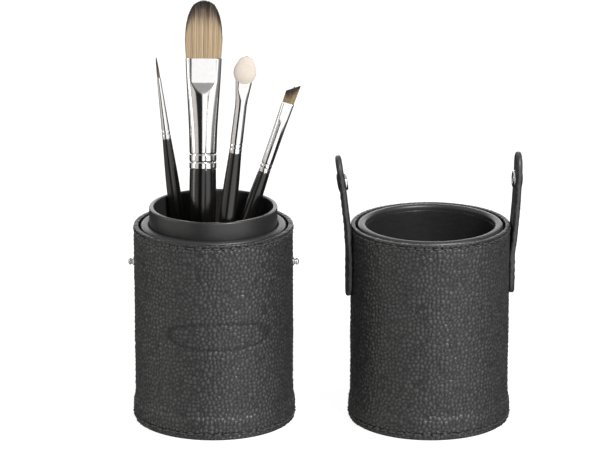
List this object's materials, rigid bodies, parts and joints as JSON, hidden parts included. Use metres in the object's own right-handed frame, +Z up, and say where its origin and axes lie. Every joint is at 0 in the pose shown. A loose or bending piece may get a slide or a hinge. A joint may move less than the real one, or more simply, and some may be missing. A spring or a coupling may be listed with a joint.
{
  "type": "brush travel case",
  "caption": "Round two-part leather-covered travel case for make-up brushes: a cup with a spigot, a lid with two snap straps, and the brushes standing in the cup.",
  "frame": {"origin": "centre of the underside of the cup's base, on the surface it stands on", "axes": "+Z up along the cup's axis; +X towards the lid, which stands beside the cup with its mouth up; +Y to the back, where the leather's seams are"},
  "size_m": [0.1974, 0.0826, 0.2094],
  "materials": {
    "pebbled_leather": "black pebbled leather, soft sheen",
    "strap_leather": "black leather strap, painted edge",
    "black_thread": "twisted polyester thread",
    "foam_sheet": "grey foam sheet",
    "core_board": "grey rolled board",
    "black_liner": "satin black",
    "black_felt": "short felt",
    "nickel": "polished nickel plate",
    "steel": "plain steel",
    "black_enamel": "satin black enamel",
    "black_lacquer": "black lacquered wood",
    "ivory_sponge": "fine ivory foam sponge",
    "brush_hair": "tan hair with dark tips"
  },
  "bodies": {
    "cup": {"cup_leather": "pebbled_leather", "cup_foam_padding": "foam_sheet", "cup_core_tube": "core_board", "cup_liner_tube": "black_liner", "cup_base_cover": "pebbled_leather", "cup_base_board": "core_board", "cup_floor_felt": "black_felt", "cup_rim_stitches": "black_thread", "cup_base_stitches": "black_thread", "cup_seam_stitches": "black_thread", "cup_snap_studs": "nickel", "cup_stud_rivets": "steel"},
    "lid": {"lid_leather": "pebbled_leather", "lid_foam_padding": "foam_sheet", "lid_core_tube": "core_board", "lid_lining_tube": "black_liner", "lid_base_cover": "pebbled_leather", "lid_base_board": "core_board", "lid_floor_felt": "black_felt", "lid_rim_stitches": "black_thread", "lid_base_stitches": "black_thread", "lid_seam_stitches": "black_thread", "left_strap_anchor_backing": "strap_leather", "left_strap_anchor_face": "strap_leather", "left_strap_anchor_stitches": "black_thread", "right_strap_anchor_backing": "strap_leather", "right_strap_anchor_face": "strap_leather", "right_strap_anchor_stitches": "black_thread"},
    "left_strap": {"left_strap_backing": "strap_leather", "left_strap_face": "strap_leather", "left_strap_stitches": "black_thread", "left_snap_cap": "black_enamel", "left_snap_socket": "nickel", "left_snap_spring": "steel"},
    "right_strap": {"right_strap_backing": "strap_leather", "right_strap_face": "strap_leather", "right_strap_stitches": "black_thread", "right_snap_cap": "black_enamel", "right_snap_socket": "nickel", "right_snap_spring": "steel"},
    "liner_brush": {"liner_brush_handle": "black_lacquer", "liner_brush_ferrule": "nickel", "liner_brush_hair": "brush_hair"},
    "foundation_brush": {"foundation_brush_handle": "black_lacquer", "foundation_brush_ferrule": "nickel", "foundation_brush_hair": "brush_hair"},
    "sponge_applicator": {"sponge_applicator_handle": "black_lacquer", "sponge_applicator_ferrule": "nickel", "sponge_applicator_sponge": "ivory_sponge"},
    "angled_brush": {"angled_brush_handle": "black_lacquer", "angled_brush_ferrule": "nickel", "angled_brush_hair": "brush_hair"}
  },
  "joints": [
    {"name": "lid_turn_over", "type": "hinge", "parent": "cup", "child": "lid", "pos_m": [0.0543, 0, 0.159], "axis": [0, -1, 0], "range_deg": [0, 180]},
    {"name": "left_strap_flex", "type": "hinge", "parent": "lid", "child": "left_strap", "pos_m": [0.06725, -0.00289, 0.088], "axis": [0.0698, -0.9976, 0], "range_deg": [-5.6, 34], "stiffness_Nm_per_rad": 0.01},
    {"name": "right_strap_flex", "type": "hinge", "parent": "lid", "child": "right_strap", "pos_m": [0.14995, 0.00289, 0.088], "axis": [-0.0698, 0.9976, 0], "range_deg": [-2.6, 37], "stiffness_Nm_per_rad": 0.01},
    {"name": "liner_brush_draw", "type": "slide", "parent": "cup", "child": "liner_brush", "axis": [0.1219, -0.0696, -0.9901], "range_m": [-0.115, 0]},
    {"name": "foundation_brush_draw", "type": "slide", "parent": "cup", "child": "foundation_brush", "axis": [-0.0089, -0.1999, -0.9798], "range_m": [-0.115, 0]},
    {"name": "sponge_applicator_draw", "type": "slide", "parent": "cup", "child": "sponge_applicator", "axis": [-0.1198, 0.0354, -0.9922], "range_m": [-0.115, 0]},
    {"name": "angled_brush_draw", "type": "slide", "parent": "cup", "child": "angled_brush", "axis": [-0.3294, -0.1398, -0.9338], "range_m": [-0.115, 0]}
  ]
}
